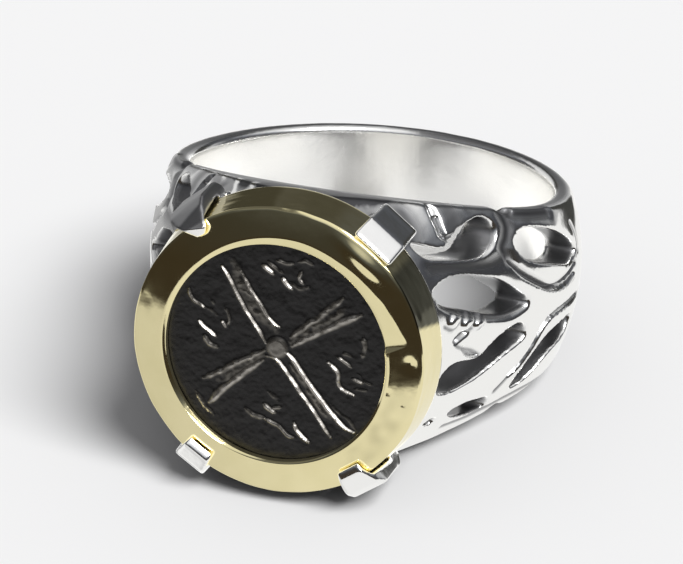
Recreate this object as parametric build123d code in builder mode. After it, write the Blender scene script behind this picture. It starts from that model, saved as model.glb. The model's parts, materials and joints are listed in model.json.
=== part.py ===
"""A man's coin ring: a wide pierced silver hoop that carries a dark old coin in a gold frame.

The ring is drawn with its hoop standing round the Z axis and its coin facing -Y, then laid down
the way it rests on a table: on the lower edge of the gold frame and on the back of the hoop.
All sizes are millimetres.
"""

import os
from math import acos, asin, atan2, cos, degrees, hypot, radians, sin, sqrt

from build123d import *

os.makedirs("parts", exist_ok=True)

# Hoop
finger_diameter = 19.5
side_wall = 1.95
back_wall = 1.45
back_width = 7.9
edge_round = 0.4

# Head, which widens into the shoulders and carries the frame
head_depth = 3.65
head_rise = 0.35
head_step = 0.72
shoulder_wall = 1.8
rim_width = 1.45
seat_plate = 1.8
window_ledge = 0.85

# Gold frame round the coin
frame_wall = 1.77
frame_height = 2.46
frame_taper = 0.33
face_rise = 0.48
face_crown = 0.06
lip_overlap = 0.36
lip_thickness = 0.45
frame_edge_round = 0.14

# Coin
coin_diameter = 12.1
coin_thickness = 1.15
relief_height = 0.16
boss_diameter = 1.2
ridge_width = 0.22
mark_width = 0.18

# Prongs
prong_width = 2.2
prong_reach = 1.0
prong_thickness = 0.62
prong_shoulder = 0.46
prong_tip_height = 0.46
prong_tip_bevel = 0.12
prong_root = 1.1

# Carving of the shoulders
groove_width = 0.26
groove_depth = 0.3
rib_length = 1.0
rib_width = 0.46
rib_height = 0.2
notch_diameter = 1.1

# Clearance between two pieces that are pressed or set together
fit_gap = 0.05

finger_radius = finger_diameter / 2
side_radius = finger_radius + side_wall
back_radius = finger_radius + back_wall
head_reach = finger_radius + head_depth
coin_radius = coin_diameter / 2
mouth_radius = coin_radius - lip_overlap
window_radius = coin_radius - window_ledge
bore_radius = coin_radius + fit_gap
frame_radius = bore_radius + frame_wall
head_radius = frame_radius - head_step
head_half = head_radius + head_rise
back_half = back_width / 2

# Places along the -Y axis, from the finger hole outwards
frame_back = head_reach + fit_gap
frame_front = frame_back + frame_height
mouth_front = frame_front + face_rise
coin_front = mouth_front - lip_thickness - fit_gap
coin_back = coin_front - coin_thickness

# The hoop is rounded like a ball whose middle lies forward of the finger hole, so its back is thinner.
# Each shoulder is a cone that leaves the head's rim and meets the ball in a tangent.
ball_shift = side_wall - back_wall
rim_reach = head_reach - ball_shift
shoulder_turn = atan2(rim_reach, head_radius) - acos(side_radius / hypot(head_radius, rim_reach))

# The rim is thinnest at the back of the hoop, where its two rounded edges share its wall
rim_middle = sqrt(side_radius**2 - back_half**2) - ball_shift
rim_round = min(edge_round, (rim_middle - finger_radius) / 2)

# Half width of the band: how far from the back of the hoop to the head, and how much of the
# growth from the back's width to the head's width is reached there
band_edge = [
    # along, growth
    (0.000, 0.000),
    (0.170, 0.030),
    (0.373, 0.110),
    (0.535, 0.240),
    (0.698, 0.480),
    (0.840, 0.745),
    (1.000, 1.000),
]

# Openings pierced through each shoulder, seen from the side. Along runs from the middle of the
# finger hole to the head, as a share of the head's reach; across is a share of the head's half width.
piercings = {
    "upper_almond": [
        # along, across
        (0.925, 0.405), (0.851, 0.447), (0.769, 0.440), (0.679, 0.393), (0.575, 0.320), (0.493, 0.213),
        (0.433, 0.100), (0.522, 0.060), (0.597, 0.080), (0.672, 0.127), (0.791, 0.220), (0.888, 0.300),
    ],
    "upper_eye": [
        (0.455, 0.545), (0.395, 0.593), (0.328, 0.573), (0.261, 0.533), (0.194, 0.480), (0.127, 0.413),
        (0.052, 0.320), (0.026, 0.260), (0.075, 0.220), (0.164, 0.233), (0.291, 0.307), (0.388, 0.367),
        (0.448, 0.450),
    ],
    "upper_hook": [
        (0.910, 0.687), (0.888, 0.613), (0.836, 0.573), (0.739, 0.533), (0.640, 0.513), (0.560, 0.560),
        (0.524, 0.647), (0.536, 0.712), (0.575, 0.742), (0.625, 0.735), (0.679, 0.713), (0.739, 0.667),
        (0.784, 0.633), (0.836, 0.647),
    ],
    "lower_almond": [
        (0.903, -0.307), (0.903, -0.213), (0.858, -0.153), (0.776, -0.160), (0.694, -0.167), (0.642, -0.113),
        (0.560, -0.053), (0.448, -0.067), (0.433, -0.127), (0.493, -0.200), (0.567, -0.247), (0.657, -0.320),
        (0.761, -0.367), (0.858, -0.367),
    ],
    "lower_eye": [
        (0.418, -0.560), (0.403, -0.480), (0.366, -0.360), (0.313, -0.260), (0.216, -0.200), (0.112, -0.193),
        (0.030, -0.233), (0.045, -0.300), (0.134, -0.373), (0.224, -0.413), (0.299, -0.507), (0.366, -0.567),
    ],
    "lower_slit": [
        (0.731, -0.580), (0.672, -0.553), (0.590, -0.567), (0.507, -0.620), (0.500, -0.667), (0.560, -0.693),
        (0.634, -0.673), (0.709, -0.627),
    ],
}

# Straight slits beside the big openings: both ends and the width, in the same shares
slits = [
    # along, across, along, across, width
    (0.739, 0.800, 0.769, 0.700, 0.040),
    (0.800, -0.617, 0.826, -0.610, 0.055),
]

# Lines cut between neighbouring strands, in the same shares
grooves = [
    [(-0.030, -0.107), (0.097, -0.080), (0.201, -0.080), (0.306, -0.107), (0.373, -0.267), (0.470, -0.453)],
    [(0.515, 0.440), (0.463, 0.320), (0.381, 0.213), (0.299, 0.133), (0.172, 0.093), (0.060, 0.120)],
    [(0.813, -0.027), (0.754, -0.120), (0.700, -0.150)],
    [(0.866, 0.013), (0.828, 0.053), (0.784, 0.067)],
]

# Small ribs that cross the strand under the upper almond: middle of each, in the same shares
ribs = [
    # along, across
    (0.862, 0.187),
    (0.791, 0.140),
    (0.724, 0.107),
]
rib_lean = 38.0
notch_along = 0.425
notch_across = 0.775

# Prongs, each pushed down by hand: its turn round the coin in degrees, its width at the root and at
# the tip as shares of the prong's width, and its reach over the frame's face as a share of the reach
prongs = [
    # turn, root, tip, reach
    (53.5, 0.98, 0.80, 0.20),
    (125.5, 0.86, 0.46, 0.65),
    (237.5, 0.86, 0.75, 1.00),
    (307.0, 1.00, 0.61, 0.80),
]

# Ridges of the coin's double-lined cross: both ends as shares of the coin's radius
cross_ridges = [
    # x, z, x, z
    (-0.494, 0.691, -0.084, 0.048),
    (-0.419, 0.738, 0.068, 0.117),
    (-0.019, -0.074, 0.489, -0.664),
    (0.116, -0.007, 0.692, -0.593),
    (-0.092, 0.029, -0.635, -0.346),
    (-0.079, -0.084, -0.559, -0.522),
    (0.068, 0.117, 0.549, 0.569),
    (0.114, 0.045, 0.690, 0.436),
]
boss_across = -0.006
boss_up = 0.050

# Worn marks in the coin's four quarters, as shares of the coin's radius
coin_marks = [
    # x, z of each point
    [(-0.153, 0.718), (-0.066, 0.678)],
    [(0.025, 0.724), (0.091, 0.600), (0.177, 0.562)],
    [(0.211, 0.740), (0.173, 0.656)],
    [(-0.789, 0.419), (-0.760, 0.335), (-0.628, 0.277)],
    [(-0.482, 0.309), (-0.417, 0.197), (-0.459, 0.137)],
    [(-0.694, 0.170), (-0.587, 0.081), (-0.513, -0.049)],
    [(0.433, -0.016), (0.513, -0.091), (0.526, -0.177), (0.589, -0.237), (0.667, -0.268)],
    [(0.532, 0.053), (0.629, -0.019)],
    [(0.710, 0.222), (0.732, 0.121)],
    [(-0.093, -0.379), (0.007, -0.505)],
    [(-0.266, -0.634), (-0.138, -0.557), (0.015, -0.693), (0.146, -0.706)],
    [(0.160, -0.623), (0.223, -0.693)],
]


# Plane of the turned outlines: its x is the radius, upwards, so that the seams lie off the shoulders
turning_plane = Plane(origin=(0, 0, 0), x_dir=(0, 0, 1), z_dir=(-1, 0, 0))


def side_point(along, across):
    """A point of the side view, from shares of the head's reach and of its half width."""
    return (-along * head_reach, across * head_half)


def band_points(inset):
    """Upper edge of the side view from the back of the hoop to the head, drawn in by inset."""
    length = back_radius + head_reach
    growth = head_half - back_half
    return [(back_radius - along * length, back_half + rise * growth - inset) for along, rise in band_edge]


def turned_profile(inset, front):
    """Half outline of the domed body, drawn in by inset and cut off at front, to be turned about Y."""
    ball = side_radius - inset
    tangent = (ball * cos(shoulder_turn), -ball_shift - ball * sin(shoulder_turn))
    rim = (ball - (front - ball_shift) * sin(shoulder_turn)) / cos(shoulder_turn)
    with BuildSketch(turning_plane) as profile:
        with BuildLine():
            Line((0, ball - ball_shift), (0, -front))
            Line((0, -front), (rim, -front))
            Line((rim, -front), tangent)
            CenterArc((0, -ball_shift), ball, -degrees(shoulder_turn), 90 + degrees(shoulder_turn))
        make_face()
    return profile.sketch


def band_outline(inset):
    """Side view of the band, drawn in by inset."""
    points = band_points(inset)
    lower = [(y, -z) for y, z in reversed(points)]
    with BuildSketch(Plane.YZ) as outline:
        with BuildLine():
            Spline(points)
            Line(points[-1], lower[0])
            Spline(lower)
            Line(lower[-1], points[0])
        make_face()
    return outline.sketch


def coin_point(x, z):
    """A point of the front view, from shares of the coin's radius."""
    return (x * coin_radius, z * coin_radius)


def prong_point(turn, out, aside):
    """A point of the front view, out from the coin's middle at turn degrees and aside from that line."""
    angle = radians(turn)
    return (out * cos(angle) - aside * sin(angle), out * sin(angle) + aside * cos(angle))


# Skins of the domed body at several depths, and the side view at the edge and inside the rims
outer_skin = turned_profile(0, head_reach)
groove_floor = turned_profile(groove_depth, head_reach)
rib_top = turned_profile(-rib_height, head_reach)
rib_root = turned_profile(shoulder_wall / 2, head_reach)
pocket_skin = turned_profile(shoulder_wall, head_reach - seat_plate)
band_side = band_outline(0)
pocket_side = band_outline(rim_width)

# Outline of a prong through the coin's axis: up beside the frame, then in over its face
front_radius = frame_radius - frame_taper
face_slope = face_rise / (front_radius - mouth_radius)
tip_radius = front_radius - prong_reach
tip_under = frame_front + prong_reach * face_slope + face_crown + fit_gap
prong_foot = head_reach - prong_root
with BuildSketch(turning_plane) as prong_profile:
    with BuildLine():
        Polyline(
            (head_radius - prong_root, -head_reach),
            (frame_radius + fit_gap, -head_reach),
            (front_radius + fit_gap, -frame_front - fit_gap),
            (tip_radius + prong_tip_bevel, -tip_under),
            (tip_radius, -tip_under - prong_tip_height / 2),
            (tip_radius + prong_tip_bevel * 2, -tip_under - prong_tip_height),
            (front_radius + fit_gap, -frame_front - fit_gap - prong_tip_height - face_crown),
            (frame_radius + fit_gap + prong_shoulder, -frame_front),
            (frame_radius + fit_gap + prong_thickness, -frame_front + prong_thickness),
            (frame_radius + fit_gap + prong_thickness, -prong_foot - prong_root / 2),
            (head_radius - prong_root, -prong_foot),
            close=True,
        )
    make_face()

# Front view of the four prongs: each narrows towards its tip
with BuildSketch(Plane.XZ.offset(prong_foot)) as prong_front:
    for turn, root, tip, reach in prongs:
        half = root * prong_width / 2
        with BuildLine():
            Polyline(
                prong_point(turn, head_radius - prong_root * 2, half),
                prong_point(turn, head_radius - prong_root * 2, -half),
                prong_point(turn, side_radius, -half),
                prong_point(turn, side_radius, half),
                close=True,
            )
        make_face()
with BuildSketch(Plane.XZ.offset(frame_front)) as prong_tips:
    for turn, root, tip, reach in prongs:
        half = root * prong_width / 2
        tip_half = tip * prong_width / 2
        tip_place = front_radius - reach * prong_reach
        with BuildLine():
            Polyline(
                prong_point(turn, tip_place, tip_half),
                prong_point(turn, tip_place, -tip_half),
                prong_point(turn, front_radius, -half),
                prong_point(turn, side_radius, -half),
                prong_point(turn, side_radius, half),
                prong_point(turn, front_radius, half),
                close=True,
            )
        make_face()

# Tools that carve the right shoulder and are mirrored to the left one
beyond = side_radius + head_half
cut_start = mouth_radius / 2

with BuildPart() as pierce_tool:
    with BuildSketch(Plane.YZ.offset(cut_start)):
        for outline in piercings.values():
            with BuildLine():
                Spline([side_point(along, across) for along, across in outline], periodic=True)
            make_face()
        for along_a, across_a, along_b, across_b, width in slits:
            middle = side_point((along_a + along_b) / 2, (across_a + across_b) / 2)
            SlotCenterPoint(middle, side_point(along_b, across_b), width * head_half)
    extrude(amount=beyond)
    mirror(about=Plane.YZ)

with BuildPart() as groove_tool:
    with BuildSketch(Plane.YZ.offset(cut_start)):
        for line in grooves:
            with BuildLine() as path:
                Spline([side_point(along, across) for along, across in line])
            trace(path.line, line_width=groove_width)
    extrude(amount=beyond)
    mirror(about=Plane.YZ)
    revolve(groove_floor, axis=Axis.Y, mode=Mode.SUBTRACT)

with BuildPart() as rib_tool:
    with BuildSketch(Plane.YZ.offset(cut_start)):
        with Locations([side_point(along, across) for along, across in ribs]):
            SlotOverall(rib_length, rib_width, rotation=rib_lean)
    extrude(amount=beyond)
    mirror(about=Plane.YZ)
    revolve(rib_top, axis=Axis.Y, mode=Mode.INTERSECT)
    revolve(rib_root, axis=Axis.Y, mode=Mode.SUBTRACT)

with BuildPart() as prong_block:
    extrude(prong_front.sketch, amount=frame_front - prong_foot)
    extrude(prong_tips.sketch, amount=head_half)

with BuildPart() as prong_tool:
    revolve(prong_profile.sketch, axis=Axis.Y)
    add(prong_block.part, mode=Mode.INTERSECT)

with BuildPart() as pocket_tool:
    revolve(pocket_skin, axis=Axis.Y)
    extrude(pocket_side, amount=beyond, both=True, mode=Mode.INTERSECT)
    split(bisect_by=Plane.XZ.offset(side_wall), keep=Keep.TOP)

# Silver hoop, shoulders, seat and prongs: cast and soldered, so one solid
with BuildPart() as ring_shank:
    revolve(outer_skin, axis=Axis.Y)
    extrude(band_side, amount=beyond, both=True, mode=Mode.INTERSECT)
    Cylinder(finger_radius, 4 * head_half, mode=Mode.SUBTRACT)
    # Both edges of the hoop are rounded, inside and outside; the seams on the rims are left out
    rim_lines = ring_shank.edges().filter_by(GeomType.BSPLINE)
    fillet(rim_lines.filter_by(lambda line: line.bounding_box().size.X > head_step), rim_round)
    add(pocket_tool.part, mode=Mode.SUBTRACT)
    add(rib_tool.part)
    # Collar that holds the coin against the frame's lip
    with BuildSketch(Plane.XZ.offset(head_reach - seat_plate)):
        Circle(coin_radius)
    extrude(amount=coin_back - fit_gap - head_reach + seat_plate)
    with BuildSketch(Plane.XZ.offset(finger_radius / 2)):
        Circle(window_radius)
    extrude(amount=mouth_front, mode=Mode.SUBTRACT)
    add(pierce_tool.part, mode=Mode.SUBTRACT)
    add(groove_tool.part, mode=Mode.SUBTRACT)
    # Notch between two lobes of each edge
    with BuildSketch(Plane.YZ):
        with Locations([side_point(notch_along, notch_across), side_point(notch_along, -notch_across)]):
            Circle(notch_diameter / 2)
    extrude(amount=beyond, both=True, mode=Mode.SUBTRACT)
    add(prong_tool.part)
ring_shank.part.label = "ring_shank"

# Gold frame: a tapered wall with a crowned face, bored from behind so that its lip holds the coin
with BuildPart() as bezel_frame:
    front_edge = (front_radius, -frame_front)
    mouth_edge = (mouth_radius, -mouth_front)
    crown = (
        (front_edge[0] + mouth_edge[0]) / 2,
        (front_edge[1] + mouth_edge[1]) / 2 - face_crown,
    )
    with BuildSketch(Plane.XY):
        with BuildLine():
            Line((bore_radius, -frame_back), (frame_radius, -frame_back))
            Line((frame_radius, -frame_back), front_edge)
            ThreePointArc(front_edge, crown, mouth_edge)
            Line(mouth_edge, (mouth_radius, -mouth_front + lip_thickness))
            Line((mouth_radius, -mouth_front + lip_thickness), (bore_radius, -mouth_front + lip_thickness))
            Line((bore_radius, -mouth_front + lip_thickness), (bore_radius, -frame_back))
        make_face()
    revolve(axis=Axis.Y)
    fillet(bezel_frame.edges().filter_by(GeomType.CIRCLE).sort_by(Axis.Y)[0], frame_edge_round)
bezel_frame.part.label = "bezel_frame"

# Coin: a flat disc with a raised double-lined cross, a boss and worn marks
with BuildPart() as coin:
    with BuildSketch(Plane.XZ.offset(coin_back)):
        Circle(coin_radius)
    extrude(amount=coin_thickness)
    with BuildSketch(Plane.XZ.offset(coin_front)):
        with Locations(coin_point(boss_across, boss_up)):
            Circle(boss_diameter / 2)
        for x_a, z_a, x_b, z_b in cross_ridges:
            with BuildLine() as ridge:
                Line(coin_point(x_a, z_a), coin_point(x_b, z_b))
            trace(ridge.line, line_width=ridge_width)
        for mark in coin_marks:
            with BuildLine() as stroke:
                Polyline([coin_point(x, z) for x, z in mark])
            trace(stroke.line, line_width=mark_width)
    extrude(amount=relief_height)
coin.part.label = "coin"

# Lay the ring down: the frame's lower back edge and the rounded lower edge of the hoop's back touch
# the table, so the table is the line from one to the other
round_rise = frame_radius - back_half + rim_round
round_middle = sqrt((side_radius - rim_round) ** 2 - (back_half - rim_round) ** 2) - ball_shift
round_reach = frame_back + round_middle
rest_turn = degrees(atan2(round_rise, round_reach) - asin(rim_round / hypot(round_rise, round_reach)))
pieces = [ring_shank.part, bezel_frame.part, coin.part]
lying = Rotation(-rest_turn, 0, 0)
box = Compound([piece.moved(lying) for piece in pieces]).bounding_box()
table = Location((-box.center().X, -box.center().Y, -box.min.Z)) * lying
for piece in pieces:
    resting = piece.moved(table)
    resting.label = piece.label
    export_step(resting, f"parts/{piece.label}.step")
print(f"rest turn {rest_turn:.2f} deg, hoop centre {tuple(round(v, 3) for v in table.position)}")
print(f"size {tuple(round(v, 2) for v in box.size)}")
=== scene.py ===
# %% [markdown]
# # A coin ring, dressed in Blender
# The CAD part gives the ring its true size and its resting place. This notebook loads that frame and
# gives each of its three pieces the look of the real thing: polished cast silver that is dark in its
# cuts, a pale gold frame with small scratches, and an old blackened coin worn bright on its ridges.

# %% Load the frame
import json
from math import acos, atan2, cos, degrees, exp, hypot, pi, radians, sin

import bmesh
import bpy
import numpy as np
from mathutils import Matrix, Vector, noise

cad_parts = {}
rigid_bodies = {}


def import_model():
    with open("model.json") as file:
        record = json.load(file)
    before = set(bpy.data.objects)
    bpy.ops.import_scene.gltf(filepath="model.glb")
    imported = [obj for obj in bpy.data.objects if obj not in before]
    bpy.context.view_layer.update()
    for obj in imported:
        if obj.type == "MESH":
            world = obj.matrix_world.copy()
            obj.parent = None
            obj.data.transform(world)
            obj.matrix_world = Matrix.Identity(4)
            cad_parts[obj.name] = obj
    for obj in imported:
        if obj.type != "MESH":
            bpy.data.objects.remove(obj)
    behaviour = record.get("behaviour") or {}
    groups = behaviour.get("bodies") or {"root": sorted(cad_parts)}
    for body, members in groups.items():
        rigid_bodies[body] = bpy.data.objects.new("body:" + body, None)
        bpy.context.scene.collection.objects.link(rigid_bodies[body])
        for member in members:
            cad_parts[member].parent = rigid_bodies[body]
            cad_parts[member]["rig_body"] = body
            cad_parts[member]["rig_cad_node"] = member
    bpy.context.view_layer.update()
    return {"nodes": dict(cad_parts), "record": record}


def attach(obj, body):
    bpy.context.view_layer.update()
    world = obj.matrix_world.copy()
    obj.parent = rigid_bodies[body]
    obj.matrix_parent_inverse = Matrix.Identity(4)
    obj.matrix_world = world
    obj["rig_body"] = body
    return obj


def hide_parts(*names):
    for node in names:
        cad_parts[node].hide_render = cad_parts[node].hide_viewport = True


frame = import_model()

print("CAD nodes:", sorted(frame["nodes"]))

# %% [markdown]
# ## Where the ring lies
# The ring lies on its side, leaning a little. The record states the finger hole as a mount, and its
# middle and axis are all that is needed to find the ring's own directions again. A piece is modelled
# in "face" directions, as if it lay on the bench and was looked at from above: X right, Y up, Z
# towards the eye, with the middle of the finger hole at zero. Then it is laid down by one matrix.

# %% From the bench to the table
MM = 0.001
bore = frame["record"]["mounts"][0]
hoop_centre = Vector(bore["pos_m"])
lean = atan2(bore["axis"][1], bore["axis"][2])
hoop_place = Matrix.Translation(hoop_centre) @ Matrix.Rotation(-lean, 4, "X")
face_place = hoop_place @ Matrix.Rotation(pi / 2, 4, "X")


def nothing_selected():
    """Leaves edit mode and deselects all, so that the next operator acts on its own piece alone."""
    if bpy.context.mode != "OBJECT":
        bpy.ops.object.mode_set(mode="OBJECT")
    bpy.ops.object.select_all(action="DESELECT")


def work_on(piece):
    """Makes one piece the selected and active one."""
    nothing_selected()
    piece.select_set(True)
    bpy.context.view_layer.objects.active = piece


def lay_down(piece):
    """Turns a piece modelled in face directions into its place on the table, in its mesh."""
    work_on(piece)
    piece.matrix_world = face_place @ piece.matrix_world
    bpy.ops.object.transform_apply(location=True, rotation=True, scale=True)


def apply_modifier(piece, kind, **settings):
    """Adds one modifier, sets it and applies it."""
    work_on(piece)
    modifier = piece.modifiers.new(kind.lower(), kind)
    for name, value in settings.items():
        setattr(modifier, name, value)
    bpy.ops.object.modifier_apply(modifier=modifier.name)


def put_level(piece, name, values):
    """Puts one number at each point of the piece's mesh, for its finish to read."""
    layer = piece.data.attributes.new(name, "FLOAT", "POINT")
    layer.data.foreach_set("value", np.asarray(values, np.float32))


nothing_selected()
print(f"lean {degrees(lean):.2f} degrees, hoop centre {tuple(round(v / MM, 2) for v in hoop_centre)} mm")

# %% [markdown]
# ## Camera
# The photograph was taken from the front, a little to the right and from about thirty degrees up,
# with a long lens close by. Its place was solved from the ellipses of the coin and the hoop.

# %% The camera
# Distance in mm, focal length and picture width in pixels, sensor width in mm
EYE_DISTANCE = 155
FOCAL_PIXELS, PICTURE_WIDTH, SENSOR_WIDTH = 2819, 683, 36
view_turn = radians(17.3)
view_rise = radians(29.71)
towards_eye = Vector((sin(view_turn) * cos(view_rise), -cos(view_turn) * cos(view_rise), sin(view_rise)))
aim = hoop_centre + Vector((-1.53, 0.0, -2.24)) * MM

nothing_selected()
bpy.ops.object.camera_add(location=aim + towards_eye * EYE_DISTANCE * MM)
camera = bpy.context.object
camera.name = "camera"
camera.rotation_euler = towards_eye.to_track_quat("Z", "Y").to_euler()
camera.data.sensor_fit = "HORIZONTAL"
camera.data.sensor_width = SENSOR_WIDTH
camera.data.lens = SENSOR_WIDTH * FOCAL_PIXELS / PICTURE_WIDTH
camera.data.clip_start = 0.001
camera.data.clip_end = 10
bpy.context.scene.camera = camera
print(f"camera at {tuple(round(v / MM, 1) for v in camera.location)} mm, lens {camera.data.lens:.1f} mm")

# %% [markdown]
# ## Table and light
# Polished metal shows what stands round it, so the surroundings matter as much as the lamps. Here the
# ground is pale, the room is mostly dark above the skyline, and the ceiling is mostly bright. One
# large soft key light, from the right and high up, throws the soft shadow to the left.
#
# The room could be built from walls and lamps, but then each reflection would need its own wall. So
# it is painted by direction, and fitted to what the metal shows in this one view. Three things in it
# are not as in a real room: the table is not mirrored in the metal, the camera and the matt surfaces
# each see one plain grey, and light that is mirrored twice or more sees an even, bright room.

# %% The table
nothing_selected()
bpy.ops.mesh.primitive_plane_add(size=0.9, location=(0, 0, 0))
table = bpy.context.object
table.name = "table"
table.visible_glossy = False

paper = bpy.data.materials.new("pale_paper")
paper.use_nodes = True
paper_shader = paper.node_tree.nodes["Principled BSDF"]
paper_shader.inputs["Base Color"].default_value = (0.86, 0.86, 0.86, 1)
paper_shader.inputs["Roughness"].default_value = 0.9
paper_shader.inputs["Specular IOR Level"].default_value = 0.0
table.data.materials.append(paper)
print("table:", [round(v, 2) for v in table.dimensions], "m")

# %% Tools for painting
world = bpy.data.worlds.new("studio")
bpy.context.scene.world = world
world.use_nodes = True
nodes, links = world.node_tree.nodes, world.node_tree.links
nodes.clear()


def ramp(node_tree, stops, factor):
    """A colour ramp with the given stops, read at factor."""
    node = node_tree.nodes.new("ShaderNodeValToRGB")
    elements = node.color_ramp.elements
    while len(elements) > 1:
        elements.remove(elements[-1])
    elements[0].position, elements[0].color = stops[0][0], (*stops[0][1], 1)
    for place, colour in stops[1:]:
        elements.new(place).color = (*colour, 1)
    node_tree.links.new(factor, node.inputs["Fac"])
    return node.outputs["Color"]


def mixed(node_tree, factor, first, second):
    """A colour mix of two sockets or plain colours."""
    node = node_tree.nodes.new("ShaderNodeMix")
    node.data_type = "RGBA"
    for name, value in (("Factor", factor), ("A", first), ("B", second)):
        socket = node.inputs[name]
        if isinstance(value, bpy.types.NodeSocket):
            node_tree.links.new(value, socket)
        elif isinstance(value, (int, float)):
            socket.default_value = value
        else:
            socket.default_value = (*value, 1)
    return node.outputs["Result"]


def number(node_tree, operation, *values):
    """One step of arithmetic on sockets or plain numbers."""
    node = node_tree.nodes.new("ShaderNodeMath")
    node.operation = operation
    for socket, value in zip(node.inputs, values):
        if isinstance(value, bpy.types.NodeSocket):
            node_tree.links.new(value, socket)
        else:
            socket.default_value = value
    return node.outputs[0]


def rising(node_tree, value, low, high):
    """A smooth step from 0 at low to 1 at high."""
    node = node_tree.nodes.new("ShaderNodeMapRange")
    node.interpolation_type = "SMOOTHSTEP"
    for name, end in (("Value", value), ("From Min", low), ("From Max", high)):
        if isinstance(end, bpy.types.NodeSocket):
            node_tree.links.new(end, node.inputs[name])
        else:
            node.inputs[name].default_value = end
    return node.outputs["Result"]


def product(first, second):
    """Two numbers of the room's tree multiplied."""
    return number(sky, "MULTIPLY", first, second)


def rest_of(share):
    """What is left of one when a share is taken away."""
    return number(sky, "SUBTRACT", 1.0, share)


def evenly(value, low, high):
    """A number that runs evenly from 0 at low to 1 at high, and is held beyond them."""
    node = nodes.new("ShaderNodeMapRange")
    node.inputs["From Min"].default_value, node.inputs["From Max"].default_value = low, high
    links.new(value, node.inputs["Value"])
    return node.outputs["Result"]


sky = world.node_tree
print("world ready:", world.name)

# %% Which way a ray looks
parts = nodes.new("ShaderNodeSeparateXYZ")
links.new(nodes.new("ShaderNodeTexCoord").outputs["Generated"], parts.inputs[0])
ray_x, ray_y, ray_z = (parts.outputs[axis] for axis in "XYZ")
height, backwards = evenly(ray_z, -1, 1), evenly(ray_y, -0.25, 0.75)
to_right = number(sky, "ARCTAN2", ray_x, product(ray_y, -1.0))
camera_side = product(rising(sky, to_right, 0.10, 0.16), rest_of(rising(sky, to_right, 0.60, 0.80)))
back_side = product(rising(sky, ray_y, 0.45, 0.65), rising(sky, ray_x, 0.05, 0.15))
back_side = product(back_side, rest_of(rising(sky, ray_x, 0.46, 0.54)))
# The skyline parts the pale ground from the dark walls, and dips on the camera's side and at the back
SKYLINE, CAMERA_DIP, BACK_DIP, SKYLINE_BLUR = -0.15, 0.14, 0.22, 0.01
skyline = number(
    sky, "SUBTRACT", SKYLINE,
    number(sky, "ADD", product(camera_side, CAMERA_DIP), product(back_side, BACK_DIP)),
)
above = rising(
    sky, ray_z, number(sky, "SUBTRACT", skyline, SKYLINE_BLUR), number(sky, "ADD", skyline, SKYLINE_BLUR),
)
print("skyline where a ray's Z is", SKYLINE)

# %% The walls
front_room = ramp(sky, [
    (0.30, (0.040, 0.034, 0.028)), (0.52, (0.045, 0.036, 0.026)), (0.64, (0.050, 0.048, 0.046)),
    (0.74, (0.12, 0.13, 0.15)), (0.82, (0.75, 0.76, 0.78)), (1.0, (0.95, 0.95, 0.95)),
], height)
side_room = ramp(sky, [
    (0.30, (0.055, 0.06, 0.065)), (0.52, (0.055, 0.06, 0.07)), (0.66, (0.08, 0.085, 0.10)),
    (0.76, (0.30, 0.31, 0.33)), (0.86, (0.85, 0.85, 0.85)), (1.0, (0.95, 0.95, 0.95)),
], height)
back_room = ramp(sky, [
    (0.46, (0.55, 0.55, 0.55)), (0.60, (0.40, 0.41, 0.42)), (0.65, (0.10, 0.10, 0.10)),
    (0.85, (0.055, 0.053, 0.048)), (0.92, (0.85, 0.85, 0.85)), (1.0, (0.95, 0.95, 0.95)),
], height)
walls = mixed(sky, backwards, front_room, side_room)
walls = mixed(sky, rising(sky, ray_y, 0.60, 0.85), walls, back_room)
dim_corner = ramp(sky, [
    (0.57, (0.050, 0.050, 0.046)), (0.63, (0.085, 0.09, 0.10)), (0.72, (0.10, 0.105, 0.12)),
    (0.80, (0.08, 0.08, 0.08)), (0.88, (0.85, 0.85, 0.85)), (1.0, (0.95, 0.95, 0.95)),
], height)
walls = mixed(sky, back_side, walls, dim_corner)
left_back = product(rising(sky, ray_x, -0.32, -0.38), rising(sky, ray_y, 0.70, 0.80))
walls = mixed(sky, left_back, walls, (0.06, 0.058, 0.05))
left_light = product(rising(sky, ray_x, -0.52, -0.60), rising(sky, ray_y, 0.30, 0.42))
walls = mixed(sky, left_light, walls, (0.75, 0.75, 0.75))
dim_ceiling = product(rising(sky, ray_z, 0.45, 0.60), rest_of(rising(sky, ray_x, -0.25, -0.12)))
walls = mixed(sky, dim_ceiling, walls, (0.14, 0.14, 0.145))
print("walls painted")

# %% The ground, and who sees what
ground = mixed(sky, rising(sky, to_right, -1.3, 0.2), (0.66, 0.66, 0.66), (0.88, 0.88, 0.875))
ground = mixed(sky, rising(sky, to_right, -1.2, -1.35), ground, (0.95, 0.95, 0.94))
behind = mixed(sky, rising(sky, ray_x, -0.16, -0.04), (1.10, 1.10, 1.09), (0.90, 0.90, 0.89))
behind = mixed(sky, rising(sky, ray_x, -0.40, -0.50), behind, (0.45, 0.45, 0.45))
ground = mixed(sky, rising(sky, ray_y, 0.0, 0.3), ground, behind)
room = mixed(sky, above, ground, walls)
rays = nodes.new("ShaderNodeLightPath")
mirrored_before = number(sky, "GREATER_THAN", rays.outputs["Glossy Depth"], 1.5)
room = mixed(sky, mirrored_before, room, (1.35, 1.35, 1.34))
lit = mixed(sky, rays.outputs["Is Diffuse Ray"], room, (0.27, 0.27, 0.275))
background = nodes.new("ShaderNodeBackground")
links.new(mixed(sky, rays.outputs["Is Camera Ray"], lit, (0.88, 0.88, 0.88)), background.inputs["Color"])
links.new(background.outputs[0], nodes.new("ShaderNodeOutputWorld").inputs["Surface"])
print("room painted with", len(nodes), "nodes")

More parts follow.
